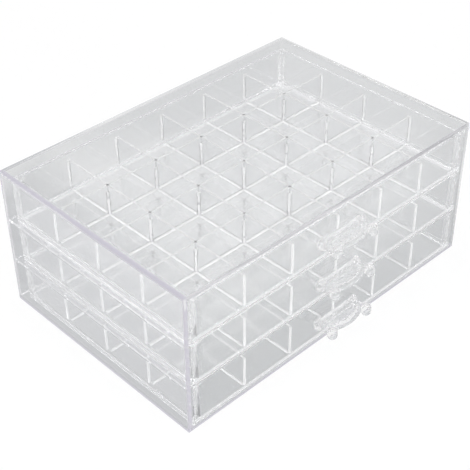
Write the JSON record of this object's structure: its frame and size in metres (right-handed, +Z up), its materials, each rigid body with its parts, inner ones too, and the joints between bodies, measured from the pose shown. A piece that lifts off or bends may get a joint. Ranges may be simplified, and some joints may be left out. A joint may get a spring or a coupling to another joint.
{
  "type": "earring box",
  "caption": "Clear plastic earring box: an open-fronted case with stacked sliding drawers, each divided into a grid of small compartments and fitted with a beaded pull.",
  "frame": {"origin": "centre of the case's underside, without the handles", "axes": "+X to the right seen from the front, +Y from the drawer fronts to the back, +Z up"},
  "size_m": [0.235, 0.1737, 0.096],
  "materials": {
    "clear_case": "polished clear plastic with a faint lavender edge",
    "clear_drawer": "polished clear plastic with a faint green-grey tint",
    "clear_divider": "polished clear plastic strip with sawn bright edges",
    "clear_handle": "polished clear plastic, moulded thick"
  },
  "bodies": {
    "case": {"case_top": "clear_case", "case_bottom": "clear_case", "case_left_side": "clear_case", "case_right_side": "clear_case", "case_back": "clear_case", "middle_runner_left": "clear_case", "middle_runner_right": "clear_case", "top_runner_left": "clear_case", "top_runner_right": "clear_case"},
    "bottom_drawer": {"bottom_tray": "clear_drawer", "bottom_handle": "clear_handle", "bottom_row_divider_1": "clear_divider", "bottom_row_divider_2": "clear_divider", "bottom_row_divider_3": "clear_divider", "bottom_column_divider_1": "clear_divider", "bottom_column_divider_2": "clear_divider", "bottom_column_divider_3": "clear_divider", "bottom_column_divider_4": "clear_divider", "bottom_column_divider_5": "clear_divider"},
    "middle_drawer": {"middle_tray": "clear_drawer", "middle_handle": "clear_handle", "middle_row_divider_1": "clear_divider", "middle_row_divider_2": "clear_divider", "middle_row_divider_3": "clear_divider", "middle_column_divider_1": "clear_divider", "middle_column_divider_2": "clear_divider", "middle_column_divider_3": "clear_divider", "middle_column_divider_4": "clear_divider", "middle_column_divider_5": "clear_divider"},
    "top_drawer": {"top_tray": "clear_drawer", "top_handle": "clear_handle", "top_row_divider_1": "clear_divider", "top_row_divider_2": "clear_divider", "top_row_divider_3": "clear_divider", "top_column_divider_1": "clear_divider", "top_column_divider_2": "clear_divider", "top_column_divider_3": "clear_divider", "top_column_divider_4": "clear_divider", "top_column_divider_5": "clear_divider"}
  },
  "joints": [
    {"name": "bottom_drawer_slide", "type": "slide", "parent": "case", "child": "bottom_drawer", "axis": [0, -1, 0], "range_m": [0, 0.12]},
    {"name": "middle_drawer_slide", "type": "slide", "parent": "case", "child": "middle_drawer", "axis": [0, -1, 0], "range_m": [0, 0.12]},
    {"name": "top_drawer_slide", "type": "slide", "parent": "case", "child": "top_drawer", "axis": [0, -1, 0], "range_m": [0, 0.12]}
  ]
}
